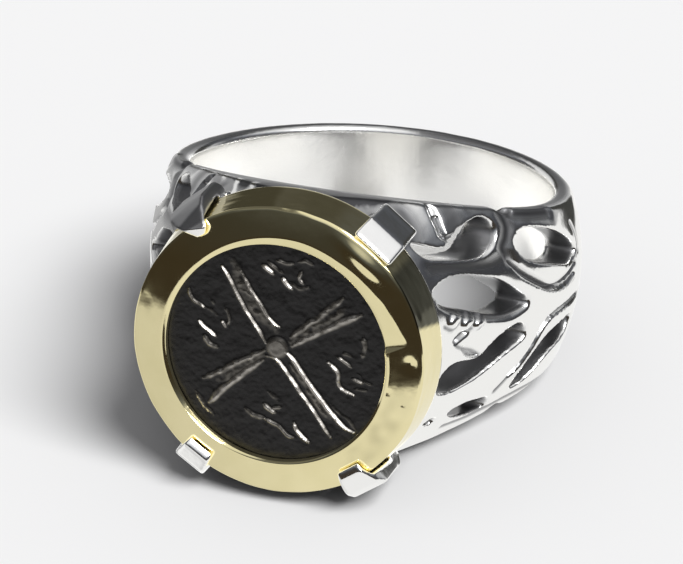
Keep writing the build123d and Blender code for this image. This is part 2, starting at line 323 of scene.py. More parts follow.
# %% The key light
key_direction = Vector((0.52, -0.29, 0.76))
nothing_selected()
bpy.ops.object.light_add(type="SUN", rotation=key_direction.to_track_quat("Z", "Y").to_euler())
key = bpy.context.object
key.name = "key"
key.data.energy = 3.15
key.data.angle = radians(34)
bpy.context.scene.view_settings.view_transform = "Standard"
bpy.context.scene.cycles.caustics_reflective = False
bpy.context.scene.cycles.glossy_bounces = 10
bpy.context.scene.cycles.max_bounces = 12
print("table, room and key light set")

# %% [markdown]
# ## Gold frame
# The real frame is a turned ring of pale gold: a wall that tapers a little, a broad crowned face that
# rises to the coin, a polished bevel at the mouth, and a lip behind which the coin sits. It could be
# a profile that is spun, but a circle that is extruded ring by ring, as on a lathe, lets each step of
# the profile be read from one table of radius and height, so that is done here.

# %% The frame's profile
frame_back, frame_front, mouth_front, lip_under = 13.45, 15.91, 16.39, 15.94
front_radius, face_start, mouth_radius, bore_radius = 7.54, 7.45, 5.69, 6.10
CORNERS, WALL_STEPS, FACE_STEPS, LIP_STEPS = 320, 13, 14, 6
# The last two rows ease the inner back edge, so that it clears the soft corner of the seat
gold_profile = [
    # radius, height
    (7.74, frame_back), (7.80, 13.48), (7.825, 13.56),
    *[(7.815 - 0.0222 * step, 13.70 + 0.165 * step) for step in range(WALL_STEPS)],
    (7.535, 15.79), (7.528, 15.84), (7.512, 15.878), (7.485, 15.902),
    *[(face_start - 0.12 * step, 15.92 + 0.031 * step) for step in range(FACE_STEPS)],
    *[(5.83 - 0.015 * step, 16.30) for step in range(LIP_STEPS)],
    (5.70, 16.17), (mouth_radius, 16.10), (mouth_radius, 15.97), (5.72, lip_under),
    (bore_radius, lip_under), (bore_radius, 15.0), (bore_radius, 14.0), (bore_radius, 13.64),
    (6.28, frame_back),
]
FIRST_EDGE_RING, FIRST_FACE_RING = 3 + WALL_STEPS, 7 + WALL_STEPS


def turned_ring(name, profile, corners):
    """A closed ring: a circle extruded from one row of the profile to the next, joined to its start."""
    nothing_selected()
    radius, height = profile[0]
    bpy.ops.mesh.primitive_circle_add(vertices=corners, radius=radius * MM, location=(0, 0, height * MM))
    piece = bpy.context.object
    piece.name = name
    bpy.ops.object.transform_apply(location=True)
    bpy.ops.object.mode_set(mode="EDIT")
    bpy.ops.mesh.select_all(action="SELECT")
    for next_radius, next_height in profile[1:]:
        bpy.ops.mesh.extrude_edges_move()
        wider = next_radius / radius
        bpy.ops.transform.resize(value=(wider, wider, 1), center_override=(0, 0, 0))
        bpy.ops.transform.translate(value=(0, 0, (next_height - height) * MM))
        radius, height = next_radius, next_height
    bpy.ops.mesh.select_all(action="DESELECT")
    bpy.ops.mesh.select_non_manifold()
    bpy.ops.mesh.bridge_edge_loops()
    bpy.ops.mesh.select_all(action="SELECT")
    bpy.ops.mesh.normals_make_consistent(inside=False)
    bpy.ops.object.mode_set(mode="OBJECT")
    return piece


gold_frame = turned_ring("gold_frame", gold_profile, CORNERS)
print("gold frame turned from", len(gold_profile), "rows")

# %% [markdown]
# The face slopes evenly from the front edge up to a crest, and from there a narrow lip turns in to the
# mouth. That lip looks filed by eye: it is broad at the upper right, ends there in a step, and is a
# thin line elsewhere. So the crest's radius is given by turn, and the rings of the face follow it.
#
# The wall is dark at its upper right, with a sharp lower end, and the face is darker in clouds at its lower
# right. The dark wall is a painted dark reflection: the painted room gave it only by making the silver
# dark too. So both are painted into the colour, as a level on the mesh that the finish reads.

# %% The crest, the marks and the dark places
crest_rows = [
    # turn in degrees, radius of the crest
    (-180, 5.88), (-140, 5.84), (-90, 5.82), (-20, 5.82), (10, 5.82), (12.5, 6.84), (14.6, 6.82),
    (18, 6.70), (22.5, 6.60), (27.5, 6.50), (32.5, 6.45), (37.6, 6.33), (45, 6.24), (60, 6.14),
    (80, 6.14), (104, 6.02), (134, 5.90), (160, 5.92), (180, 5.88),
]
crest_turns, crest_radii = zip(*crest_rows)


def slope_height(radius):
    """The height of the sloping face at a radius, in mm, with a very slight crown."""
    share = (front_radius - radius) / (front_radius - mouth_radius)
    return mouth_front - (mouth_front - frame_front) * (1 - share) + 0.06 * share * (1 - share)


marks = [
    # turn in degrees, radius, half width along the radius, half width round the coin, height in mm
    (4.4, 6.85, 0.30, 0.36, -0.065), (-13.5, 6.82, 0.07, 0.07, -0.035), (-13.0, 7.20, 0.06, 0.06, -0.025),
    (-9.8, 5.95, 0.10, 0.10, -0.02), (-23.7, 6.34, 0.10, 0.14, -0.02), (-38.3, 7.50, 0.05, 0.20, -0.015),
    (-77.0, 7.05, 0.16, 0.04, -0.015), (-30.0, 6.80, 0.50, 0.05, -0.008), (-26.0, 7.00, 0.40, 0.05, -0.008),
    (-45.0, 7.15, 0.35, 0.05, -0.010), (52.0, 6.94, 0.36, 1.35, 0.145), (165.0, 7.10, 0.40, 0.40, -0.008),
    (205.0, 6.60, 0.60, 0.60, -0.010), (245.0, 7.00, 0.40, 0.40, -0.010),
]
# The painted dark reflection on the wall, in degrees: its lower end at the wall's back, how far that end
# has moved at the wall's front and how sharp it is, then its upper end and how soft that is
DARK_FROM, DARK_SLANT, DARK_SHARP, DARK_TO, DARK_SOFT = 13.5, 4.0, 1.2, 50, 10
WALL_START, WALL_HEIGHT = 13.5, 2.4
CLOUD_TURN, CLOUD_RADIUS, CLOUD_LEVEL = -32, 6.55, 0.26
CRISP_EDGE, EDGE_PULL, EDGE_RADIUS, EDGE_HEIGHT = 0.55, 0.8, 7.532, 15.893
print("marks on the face:", len(marks))

# %% The face shaped by turn
# One level for the painted dark reflection on the wall and the darker clouds on the face
painted_reflection_and_cloud = np.zeros(len(gold_frame.data.vertices))
for corner in gold_frame.data.vertices:
    ring, turn = corner.index // CORNERS, atan2(corner.co.y, corner.co.x)
    radius, high = hypot(corner.co.x, corner.co.y) / MM, corner.co.z / MM
    crest = float(np.interp(degrees(turn), crest_turns, crest_radii))
    face_ring = ring - FIRST_FACE_RING
    lip_ring = face_ring - FACE_STEPS
    # The mouth's edge is cut back more at the lower left, and the lip falls more where it is broader
    chamfer = exp(-(((degrees(turn) + 138) / 28) ** 4))
    drop = float(np.interp(crest, [5.70, 5.95, 6.4, 6.84], [0.01, 0.06, 0.07, 0.035]))
    mouth_high = slope_height(crest) - drop
    if 0 <= face_ring < FACE_STEPS:
        radius = face_start + (crest - face_start) * face_ring / (FACE_STEPS - 1)
        high = slope_height(radius)
    elif 0 <= lip_ring < LIP_STEPS:
        share = (lip_ring + 1) / LIP_STEPS
        radius = crest + (5.74 + 0.07 * chamfer - crest) * share
        high = slope_height(crest) - drop * share ** 1.3
    elif lip_ring == LIP_STEPS:
        high = mouth_high - 0.03 - 0.09 * chamfer
    elif lip_ring == LIP_STEPS + 1:
        high = max(15.985, mouth_high - 0.07 - 0.10 * chamfer)
    if ring < FIRST_FACE_RING:
        # The wall carries a painted dark reflection, from a sharp, slanting lower end to a soft upper one
        lower_end = DARK_FROM + DARK_SLANT * (high - WALL_START) / WALL_HEIGHT
        sharp_end = np.clip((degrees(turn) - lower_end) / DARK_SHARP, 0, 1)
        painted_reflection_and_cloud[corner.index] = sharp_end * np.clip((DARK_TO - degrees(turn)) / DARK_SOFT, 0, 1)
    if FIRST_EDGE_RING <= ring < FIRST_FACE_RING:
        # The front edge is rounder at the upper right, where it catches the light
        crisp = CRISP_EDGE * (1 - exp(-(((degrees(turn) - 74) / 16) ** 4)))
        radius += crisp * (EDGE_RADIUS - radius) * EDGE_PULL
        high += crisp * (EDGE_HEIGHT - high) * EDGE_PULL
    if 15.5 < high and radius > face_start:
        radius += 0.018 * noise.noise((cos(turn) * 9, sin(turn) * 9, 2.5))
        high += 0.010 * noise.noise((cos(turn) * 14, sin(turn) * 14, 6.5))
    if high > 13.6 and radius > 7.3:
        radius += 0.020 * noise.noise((cos(turn) * 2.2, sin(turn) * 2.2, high * 0.25))
        radius += 0.010 * noise.noise((cos(turn) * 7, sin(turn) * 7, high * 4.0))
    if 0 <= face_ring < FACE_STEPS:
        # The face is painted darker in clouds at its lower right
        cloudy = 0.6 + 0.8 * noise.noise((cos(turn) * 9, sin(turn) * 9, radius * 1.5))
        off_turn, off_radius = (degrees(turn) - CLOUD_TURN) / 22, (radius - CLOUD_RADIUS) / 0.60
        painted_reflection_and_cloud[corner.index] = CLOUD_LEVEL * cloudy * exp(-(off_turn ** 4) - off_radius ** 4)
    if 0 <= face_ring < FACE_STEPS + LIP_STEPS:
        high += 0.012 * noise.noise((cos(turn) * 1.8, sin(turn) * 1.8, 4.0))
        for mark_turn, mark_radius, wide_radial, wide_round, rise in marks:
            bend = turn - radians(mark_turn)
            out, round_it = radius * cos(bend) - mark_radius, radius * sin(bend)
            high += rise * exp(-((out / wide_radial) ** 2) - (round_it / wide_round) ** 2)
    corner.co = (radius * cos(turn) * MM, radius * sin(turn) * MM, high * MM)
put_level(gold_frame, "painted_reflection_and_cloud", painted_reflection_and_cloud)
lay_down(gold_frame)
work_on(gold_frame)
bpy.ops.object.shade_smooth_by_angle(angle=radians(32))
print("gold frame:", len(gold_frame.data.polygons), "faces")

# %% [markdown]
# ## Coin
# The coin looks struck by hand, long ago, and worn since: a double-lined cross with a small boss, and
# rough marks in its quarters. A sculptor would press such relief into a fine sheet, so the sheet
# is a dense grid, bent into a disc, whose points are raised by the strokes of the relief. The coin's
# back can be seen through the ring. It is guessed: plain, and rubbed bright by the finger.

# %% The strokes of the relief
coin_radius, coin_front, coin_back, relief = 6.05, 15.89, 14.74, 0.16
MOST_WORN, BARE = 0.85, 1.0
coin_strokes = [
    # height, half width, brightness, points as shares of the coin's radius
    (1.00, 0.075, 1.00, [
        (-0.497, 0.671), (-0.451, 0.608), (-0.388, 0.505), (-0.323, 0.393), (-0.232, 0.259), (-0.16, 0.165),
        (-0.096, 0.061),
    ]),
    (0.80, 0.070, 0.75, [
        (-0.333, 0.661), (-0.278, 0.566), (-0.223, 0.479), (-0.169, 0.409), (-0.124, 0.346),
        (-0.079, 0.283), (-0.034, 0.238), (0.018, 0.22),
    ]),
    (0.35, 0.300, 0.32, [
        (-0.404, 0.728), (-0.348, 0.598), (-0.302, 0.501), (-0.22, 0.383), (-0.13, 0.284), (-0.015, 0.18),
    ]),
    (0.60, 0.120, 0.50, [(-0.344, 0.494), (-0.275, 0.479), (-0.222, 0.427)]),
    (1.00, 0.075, 0.95, [
        (-0.083, -0.051), (-0.005, -0.056), (0.058, -0.125), (0.149, -0.234), (0.221, -0.328),
        (0.312, -0.438), (0.385, -0.532), (0.449, -0.619), (0.495, -0.674),
    ]),
    (1.00, 0.100, 1.00, [
        (0.078, 0.01), (0.131, -0.034), (0.195, -0.111), (0.267, -0.205), (0.358, -0.314), (0.44, -0.407),
        (0.512, -0.484), (0.601, -0.566), (0.688, -0.596),
    ]),
    (0.45, 0.160, 0.35, [
        (0.117, -0.089), (0.18, -0.158), (0.244, -0.254), (0.325, -0.346), (0.416, -0.455), (0.532, -0.551),
    ]),
    (0.30, 0.080, 0.30, [(0.481, -0.382), (0.597, -0.478), (0.704, -0.566)]),
    (0.55, 0.140, 0.55, [(-0.102, -0.002), (-0.305, -0.132), (-0.475, -0.25), (-0.621, -0.337)]),
    (0.60, 0.150, 0.66, [(-0.116, -0.092), (-0.3, -0.256), (-0.452, -0.407), (-0.561, -0.542)]),
    (0.30, 0.240, 0.34, [(-0.117, -0.048), (-0.302, -0.194), (-0.489, -0.342)]),
    (0.55, 0.140, 0.52, [(0.115, 0.148), (0.239, 0.256), (0.401, 0.413), (0.538, 0.555)]),
    (0.60, 0.150, 0.66, [(0.127, 0.071), (0.326, 0.209), (0.532, 0.338), (0.695, 0.434)]),
    (0.30, 0.220, 0.28, [(0.117, 0.105), (0.323, 0.261), (0.569, 0.448)]),
    (0.80, 0.075, 0.70, [
        (-0.775, 0.435), (-0.764, 0.384), (-0.728, 0.337), (-0.675, 0.311), (-0.631, 0.283),
    ]),
    (0.40, 0.100, 0.35, [(-0.614, 0.285), (-0.569, 0.257), (-0.525, 0.238)]),
    (0.40, 0.070, 0.35, [(-0.581, 0.361), (-0.563, 0.329)]),
    (0.60, 0.070, 0.50, [(-0.467, 0.317), (-0.431, 0.262), (-0.42, 0.202), (-0.436, 0.164)]),
    (0.80, 0.070, 0.85, [(-0.481, 0.192), (-0.444, 0.145)]),
    (1.00, 0.075, 0.90, [(-0.68, 0.169), (-0.635, 0.123), (-0.572, 0.08), (-0.528, 0.052)]),
    (0.60, 0.120, 0.55, [(-0.623, 0.037), (-0.578, -0.018), (-0.516, -0.052)]),
    (0.90, 0.100, 0.85, [(-0.148, 0.733), (-0.095, 0.698), (-0.06, 0.669)]),
    (0.50, 0.080, 0.50, [(-0.03, 0.786), (0.038, 0.77), (0.105, 0.781)]),
    (0.90, 0.100, 0.90, [(0.026, 0.648), (0.062, 0.593), (0.106, 0.565)]),
    (0.50, 0.080, 0.45, [(0.147, 0.796), (0.214, 0.823), (0.282, 0.799)]),
    (0.60, 0.080, 0.60, [(0.175, 0.731), (0.161, 0.669), (0.205, 0.624)]),
    (0.45, 0.100, 0.40, [(0.095, 0.615), (0.165, 0.574), (0.241, 0.595)]),
    (0.50, 0.080, 0.40, [(-0.098, 0.775), (-0.036, 0.716), (0.024, 0.699)]),
    (0.90, 0.080, 0.90, [
        (0.438, -0.018), (0.492, -0.062), (0.527, -0.1), (0.531, -0.17), (0.559, -0.227), (0.612, -0.253),
        (0.672, -0.27),
    ]),
    (0.70, 0.075, 0.70, [(0.521, 0.04), (0.582, 0.006), (0.634, -0.029)]),
    (0.70, 0.075, 0.60, [(0.656, -0.131), (0.708, -0.14), (0.75, -0.142)]),
    (0.40, 0.060, 0.30, [(0.696, -0.072), (0.767, -0.13), (0.827, -0.155)]),
    (0.50, 0.130, 0.40, [(0.731, 0.231), (0.743, 0.155), (0.73, 0.083)]),
    (0.35, 0.070, 0.30, [(0.678, -0.224), (0.779, -0.207)]),
    (0.35, 0.090, 0.30, [(0.562, 0.073), (0.647, 0.06)]),
    (0.80, 0.110, 0.75, [(-0.084, -0.479), (-0.03, -0.523), (0.006, -0.544)]),
    (0.60, 0.090, 0.60, [(-0.013, -0.502), (0.056, -0.491)]),
    (0.40, 0.140, 0.30, [(-0.053, -0.366), (0.0, -0.402), (0.045, -0.439)]),
    (0.70, 0.080, 0.65, [(-0.096, -0.606), (0.001, -0.635), (0.063, -0.66), (0.126, -0.721), (0.178, -0.73)]),
    (1.00, 0.090, 0.95, [(0.173, -0.605), (0.201, -0.663), (0.255, -0.716), (0.309, -0.752)]),
    (0.50, 0.120, 0.45, [(-0.246, -0.542), (-0.183, -0.595), (-0.096, -0.597)]),
    (0.40, 0.100, 0.40, [(-0.678, -0.463), (-0.614, -0.56), (-0.532, -0.655)]),
]
print("strokes on the coin:", len(coin_strokes))

# %% From strokes to heights
def smooth_line(points, runs=6):
    """A soft curve that passes through each of the points, as more points."""
    ends = [points[0], *points, points[-1]]
    curve = []
    for before, start, end, after in zip(ends, ends[1:], ends[2:], ends[3:]):
        for run in range(runs):
            t = run / runs
            curve.append(tuple(
                0.5 * (
                    2 * b + (c - a) * t + (2 * a - 5 * b + 4 * c - d) * t ** 2
                    + (3 * b - a - 3 * c + d) * t ** 3
                )
                for a, b, c, d in zip(before, start, end, after)
            ))
    curve.append(points[-1])
    return curve


def distance_to_line(x, y, points):
    """The distance from each point (x, y) to a line of straight runs, and how far along it, as arrays."""
    nearest, along = np.full(x.shape, 1e9), np.zeros(x.shape)
    for run, ((ax, ay), (bx, by)) in enumerate(zip(points, points[1:])):
        length = (bx - ax) ** 2 + (by - ay) ** 2
        share = np.clip(((x - ax) * (bx - ax) + (y - ay) * (by - ay)) / length, 0, 1)
        away = np.hypot(x - ax - share * (bx - ax), y - ay - share * (by - ay))
        along = np.where(away < nearest, (run + share) / (len(points) - 1), along)
        nearest = np.minimum(nearest, away)
    return nearest, along


def relief_height(x, y, speckle, grain, wander_x, wander_y):
    """Height and brightness of the relief at points in mm from the coin's middle."""
    height, bright = np.zeros(x.shape), np.zeros(x.shape)
    for tall, half, shine, points in coin_strokes:
        rough = 1 - shine
        shift = 0.03 + 0.10 * rough
        away, along = distance_to_line(
            (x + shift * wander_x) / coin_radius, (y + shift * wander_y) / coin_radius, smooth_line(points),
        )
        taper = np.clip(np.sin(np.pi * np.clip(along, 0.04, 0.96)) * 2.2, 0, 1)
        ridge = np.exp(-(away * coin_radius / (half * (0.45 + 0.55 * taper))) ** 2)
        worn = np.clip(1 - rough * (0.40 + 1.3 * speckle), 0, 1.15) * (0.55 + 0.45 * taper)
        height = np.maximum(height, tall * relief * ridge * worn)
        flat = np.exp(-(away * coin_radius / (1.15 * half * (0.45 + 0.55 * taper))) ** 4)
        bright = np.maximum(bright, shine * flat * worn)
    boss = np.hypot(x / coin_radius - 0.004, y / coin_radius - 0.038) * coin_radius
    height = np.maximum(height, relief * 0.75 * np.clip(1.6 - (boss / 0.50) ** 2, 0, 1))
    bright = np.maximum(bright, 0.42 * np.clip(1.6 - (boss / 0.50) ** 2, 0, 1))
    return height + 0.020 * grain, bright


def ripples(scale, seed):
    """Noise at each point of the coin's sheet, scale in waves per mm."""
    return np.array([noise.noise((a * scale, b * scale, seed)) for a, b in zip(x, y)])


print("soft curve of the first stroke:", len(smooth_line(coin_strokes[0][3])), "points")

# %% The coin's disc
GRID = 240
nothing_selected()
bpy.ops.mesh.primitive_grid_add(x_subdivisions=GRID, y_subdivisions=GRID, size=2)
dark_coin = bpy.context.object
dark_coin.name = "dark_coin"
count = len(dark_coin.data.vertices)
points = np.empty(count * 3)
dark_coin.data.vertices.foreach_get("co", points)
points = points.reshape(-1, 3)
square_x, square_y = points[:, 0].copy(), points[:, 1].copy()
x = square_x * np.sqrt(1 - square_y ** 2 / 2) * coin_radius
y = square_y * np.sqrt(1 - square_x ** 2 / 2) * coin_radius
speckle = ripples(2.4, 3.1) + 0.6 * ripples(5.0, 7.1)
grain = ripples(1.7, 8.2) + 0.5 * ripples(5.0, 1.7)
raised, bright = relief_height(x, y, speckle, grain, ripples(1.9, 5.5), ripples(1.9, 9.5))
rim_fall = np.clip((np.hypot(x, y) - 5.85) / 0.2, 0, 1)
points[:, 0], points[:, 1] = x * MM, y * MM
points[:, 2] = (coin_front + raised * (1 - rim_fall)) * MM
dark_coin.data.vertices.foreach_set("co", points.ravel())
put_level(dark_coin, "worn", np.clip(bright, 0, MOST_WORN))
dark_coin.data.update()
print("relief up to", round(float(raised.max()), 3), "mm")

# %% The coin's edge and back
work_on(dark_coin)
bpy.ops.object.mode_set(mode="EDIT")
bpy.ops.mesh.select_all(action="DESELECT")
bpy.ops.mesh.select_mode(type="EDGE")
bpy.ops.mesh.select_non_manifold()
bpy.ops.mesh.extrude_edges_move(TRANSFORM_OT_translate={"value": (0, 0, (coin_back - coin_front) * MM)})
bpy.ops.mesh.edge_face_add()
bpy.ops.mesh.select_all(action="SELECT")
bpy.ops.mesh.normals_make_consistent(inside=False)
bpy.ops.object.mode_set(mode="OBJECT")
worn_level = dark_coin.data.attributes["worn"]
for corner in dark_coin.data.vertices:
    if corner.co.z < (coin_front - 0.5) * MM:
        worn_level.data[corner.index].value = BARE
lay_down(dark_coin)
work_on(dark_coin)
bpy.ops.object.shade_smooth_by_angle(angle=radians(50))
print("coin:", len(dark_coin.data.polygons), "faces")

# %% [markdown]
# ## Silver hoop
# The real hoop was most likely carved in wax and cast: none of its edges is sharp and no line is
# quite straight. The CAD solid has the right shape with hard edges. A copy of it, rebuilt from small cubes
# and smoothed, gets the soft edges of a casting.

# %% The cast hoop
work_on(frame["nodes"]["ring_shank"])
bpy.ops.object.duplicate()
silver_hoop = bpy.context.object
silver_hoop.name = "silver_hoop"
bpy.ops.object.parent_clear(type="CLEAR_KEEP_TRANSFORM")
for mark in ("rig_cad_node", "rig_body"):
    if mark in silver_hoop:
        del silver_hoop[mark]
silver_hoop.data.materials.clear()
bpy.ops.object.mode_set(mode="EDIT")
bpy.ops.mesh.select_all(action="SELECT")
bpy.ops.mesh.remove_doubles(threshold=1e-6)
bpy.ops.mesh.normals_make_consistent(inside=False)
bpy.ops.object.mode_set(mode="OBJECT")
# The CAD's prongs are cut away, because they are modelled anew below
prong_cutter = turned_ring("prong_cutter", [
    (7.93, 12.05), (9.9, 12.05), (9.9, 17.6), (6.3, 17.6), (6.3, 13.43), (7.93, 13.43),
], 96)
lay_down(prong_cutter)
apply_modifier(silver_hoop, "BOOLEAN", operation="DIFFERENCE", object=prong_cutter, solver="EXACT")
bpy.data.objects.remove(prong_cutter)
apply_modifier(silver_hoop, "REMESH", mode="VOXEL", voxel_size=0.10 * MM, use_smooth_shade=True)
print("hoop rebuilt:", len(silver_hoop.data.polygons), "faces")

# %% [markdown]
# The shoulders carry carved lines and broad dips, most likely cut in the wax. They could be sculpted by
# eye, but rows of places can be laid along the lines of the photograph. So each stroke is such a row,
# and presses a soft hollow into the skin. The left shoulder is almost hidden in the photograph, so
# both sides are carved alike.

# %% The carved strokes
# Places on the side of the shoulder: along from the middle of the finger hole to the coin, and across
# upwards, both in mm
side_cuts = [
    # depth, half width, darkness, places
    (0.20, 0.13, 1.0, [
        (7.05, 3.55), (6.63, 2.88), (6.02, 2.29), (5.24, 1.71), (4.23, 1.1), (3.31, 0.99), (1.89, 1.11),
        (0.76, 1.36),
    ]),
    (0.16, 0.42, 1.0, [(6.20, 5.50), (6.25, 4.80), (6.60, 4.30), (7.00, 3.91), (6.95, 3.36)]),
    (0.16, 0.34, 1.0, [(5.83, 5.33), (4.56, 5.03), (3.07, 4.71)]),
    (0.10, 0.10, 0.6, [(0.68, 3.51), (0.09, 2.63), (0.03, 1.79)]),
    (0.26, 0.24, 1.0, [(12.09, 2.4), (11.31, 1.82), (10.26, 1.36), (8.75, 0.82), (7.33, 0.51), (6.2, 0.68)]),
    (0.08, 0.12, 0.9, [
        (-0.41, -0.81), (2.68, -0.6), (4.12, -0.83), (4.65, -1.36), (5.0, -2.0), (5.42, -2.51),
        (5.77, -2.92), (6.27, -3.42), (6.83, -4.08),
    ]),
    (0.10, 0.10, 0.6, [
        (-0.25, -4.63), (1.37, -4.84), (3.69, -4.78), (5.2, -4.89), (6.76, -5.22), (8.0, -5.42),
        (9.34, -5.45),
    ]),
    (0.10, 0.42, 0.7, [(11.93, 3.99), (10.8, 3.8), (9.5, 3.57), (8.11, 3.37), (7.09, 3.46)]),
    (0.03, 0.08, 0.7, [(10.9, 1.6), (11.03, 1.32), (11.37, 1.05), (11.84, 0.93), (12.26, 1.21)]),
    (0.03, 0.08, 0.7, [(10.2, 1.24), (10.15, 0.91), (10.47, 0.68)]),
    (0.03, 0.08, 0.6, [(9.15, 0.83), (9.47, 0.6), (9.94, 0.47)]),
    (0.03, 0.08, 0.7, [
        (10.32, 0.58), (10.94, 0.34), (11.45, 0.07), (11.03, -0.28), (10.19, -0.65), (9.46, -1.11),
    ]),
    (0.05, 0.45, 0.9, [(11.19, 6.52), (11.29, 6.18), (11.53, 5.78), (11.87, 5.48)]),
    (0.20, 0.16, 1.0, [(9.79, 6.47), (9.99, 6.1), (10.15, 5.67), (10.16, 5.11), (9.54, 5.06)]),
    (0.04, 0.55, 0.8, [(8.97, 6.26), (9.13, 5.73), (9.42, 5.42)]),
    (0.04, 0.35, 0.6, [(7.97, 6.05), (7.38, 5.97), (6.57, 5.74)]),
]
print("carved strokes:", len(side_cuts))

# %% The skin that they are pressed into
# The side of the hoop is a ball, and its shoulders run on from it as a cone to the head
ball_shift, side_radius, finger_radius = 0.5, 11.70, 9.75
head_radius, head_reach = 7.15, 13.40
rim_reach = head_reach - ball_shift
shoulder_turn = atan2(rim_reach, head_radius) - acos(side_radius / hypot(head_radius, rim_reach))
SHOULDER_START = 4
to_hoop = np.array(hoop_place.inverted())
from_hoop = np.array(hoop_place)


def hoop_points(piece):
    """The piece's points in the hoop's own directions, in mm."""
    points = np.empty(len(piece.data.vertices) * 3)
    piece.data.vertices.foreach_get("co", points)
    return (points.reshape(-1, 3) @ to_hoop[:3, :3].T + to_hoop[:3, 3]) / MM


def skin_depth(local):
    """Depth of each point under the domed outer skin, and the skin's outward direction there."""
    across = np.hypot(local[:, 0], local[:, 2])
    forward = -(local[:, 1] + ball_shift)
    far = np.hypot(across, forward)
    on_ball = forward < side_radius * sin(shoulder_turn)
    cone_far = across * cos(shoulder_turn) + forward * sin(shoulder_turn)
    depth = np.where(on_ball, side_radius - far, side_radius - cone_far)
    ball_out = np.stack([local[:, 0], local[:, 1] + ball_shift, local[:, 2]], 1) / far[:, None]
    cone_out = np.stack([
        local[:, 0] / across * cos(shoulder_turn),
        np.full(len(local), -sin(shoulder_turn)),
        local[:, 2] / across * cos(shoulder_turn),
    ], 1)
    return depth, np.where(on_ball[:, None], ball_out, cone_out)


def cut_into(local, reach=1.0):
    """How deep the cuts press at each point, in mm, and how much of a cut is there, from 0 to 1."""
    press, share = np.zeros(len(local)), np.zeros(len(local))
    near = np.abs(local[:, 0]) > SHOULDER_START
    for cut, half, tint, places in side_cuts:
        away, _ = distance_to_line(-local[near, 1], local[near, 2], smooth_line(places))
        dip = np.exp(-(away / (half * reach)) ** 2)
        press[near] = np.maximum(press[near], cut * dip)
        share[near] = np.maximum(share[near], dip * tint)
    return press, share


print(f"shoulders narrow by {degrees(shoulder_turn):.1f} degrees")

# %% A finer mesh where it is carved
apply_modifier(silver_hoop, "SMOOTH", factor=0.5, iterations=9)
local = hoop_points(silver_hoop)
depth, _ = skin_depth(local)
press, _ = cut_into(local, 1.6)
fine = (press > 0.03) & (depth < 0.5)
work_on(silver_hoop)
silver_hoop.data.vertices.foreach_set("select", fine)
silver_hoop.data.edges.foreach_set("select", np.zeros(len(silver_hoop.data.edges), bool))
silver_hoop.data.polygons.foreach_set("select", np.zeros(len(silver_hoop.data.polygons), bool))
bpy.ops.object.mode_set(mode="EDIT")
bpy.ops.mesh.select_mode(type="VERT")
bpy.ops.mesh.subdivide(number_cuts=1)
bpy.ops.object.mode_set(mode="OBJECT")
print("points in the fine places:", int(fine.sum()))

# %% The strokes pressed in
SWAY = 0.018
local = hoop_points(silver_hoop)
depth, outward = skin_depth(local)
on_skin = np.clip((0.55 - depth) / 0.25, 0, 1)
press, _ = cut_into(local)
# A slow sway in the skin, as no polished casting is quite even
sway = np.array([noise.noise(point * 0.9) for point in map(Vector, local)])
local -= outward * (press * on_skin + SWAY * (sway + 0.6) * on_skin)[:, None]
silver_hoop.data.vertices.foreach_set("co", ((local * MM) @ from_hoop[:3, :3].T + from_hoop[:3, 3]).ravel())
silver_hoop.data.update()
print("carved", int((press > 0.05).sum()), "points")

# %% [markdown]
# The small cubes leave steps, and far more triangles than the shape needs. A goldsmith would file and
# polish the casting. Here it is smoothed, thinned, and smoothed a little once more.

# %% Smoothed, thinned and smoothed again
MOST_TRIANGLES = 196000
apply_modifier(silver_hoop, "SMOOTH", factor=0.5, iterations=5)
faces = len(silver_hoop.data.polygons)
apply_modifier(silver_hoop, "DECIMATE", ratio=min(1.0, MOST_TRIANGLES / (2 * faces)))
apply_modifier(silver_hoop, "SMOOTH", factor=0.4, iterations=2)
print("silver hoop:", faces, "faces, thinned to", len(silver_hoop.data.polygons))

# %% Loose scraps swept away
# Thinning can leave tiny loose scraps, so only what hangs together with the outermost point is kept
work_on(silver_hoop)
bpy.ops.object.mode_set(mode="EDIT")
bpy.ops.mesh.select_mode(type="VERT")
bpy.ops.mesh.select_all(action="DESELECT")
bpy.ops.object.mode_set(mode="OBJECT")
max(silver_hoop.data.vertices, key=lambda corner: corner.co.x).select = True
bpy.ops.object.mode_set(mode="EDIT")
bpy.ops.mesh.select_linked()
bpy.ops.mesh.select_all(action="INVERT")
bpy.ops.object.mode_set(mode="OBJECT")
scraps = sum(corner.select for corner in silver_hoop.data.vertices)
bpy.ops.object.mode_set(mode="EDIT")
bpy.ops.mesh.delete(type="VERT")
bpy.ops.object.mode_set(mode="OBJECT")
print("points of loose scraps deleted:", scraps)
print("silver hoop:", len(silver_hoop.data.polygons), "faces")

# %% [markdown]
# The skin is polished, the inside of the finger hole is satin, and the carved lines and the walls of
# the openings are dark, because no polish reaches them. A picture could hold all that, but it can be
# worked out from how deep each point lies under the skin, so it is kept as levels on the mesh.
#
# Three places are fitted to the photograph: the upper edge of the head behind the gold is a painted dark
# reflection, light strokes cross it on the left where it is left unpainted, and the tongue of metal
# inside the hook-shaped opening is left without patina, so it is bright.

# %% How deep each point lies under the polished skin
# How dark the patina is on the walls and in the cuts, and how dark the painted dark reflection on the head's
# rim is
WALL_PATINA, CUT_PATINA, RIM_DARK_REFLECTION = 0.85, 0.95, 0.62
WINDOW_RADIUS, WINDOW_START = 6.3, -8
STROKE_SPACING, STROKES_END = 1.05, -2.4
local = hoop_points(silver_hoop)
depth, _ = skin_depth(local)
from_bore = np.hypot(local[:, 0], local[:, 1]) - finger_radius
patina_and_dark_reflection = WALL_PATINA * np.clip((depth - 0.12) / 0.22, 0, 1) * np.clip((from_bore - 0.10) / 0.25, 0, 1)
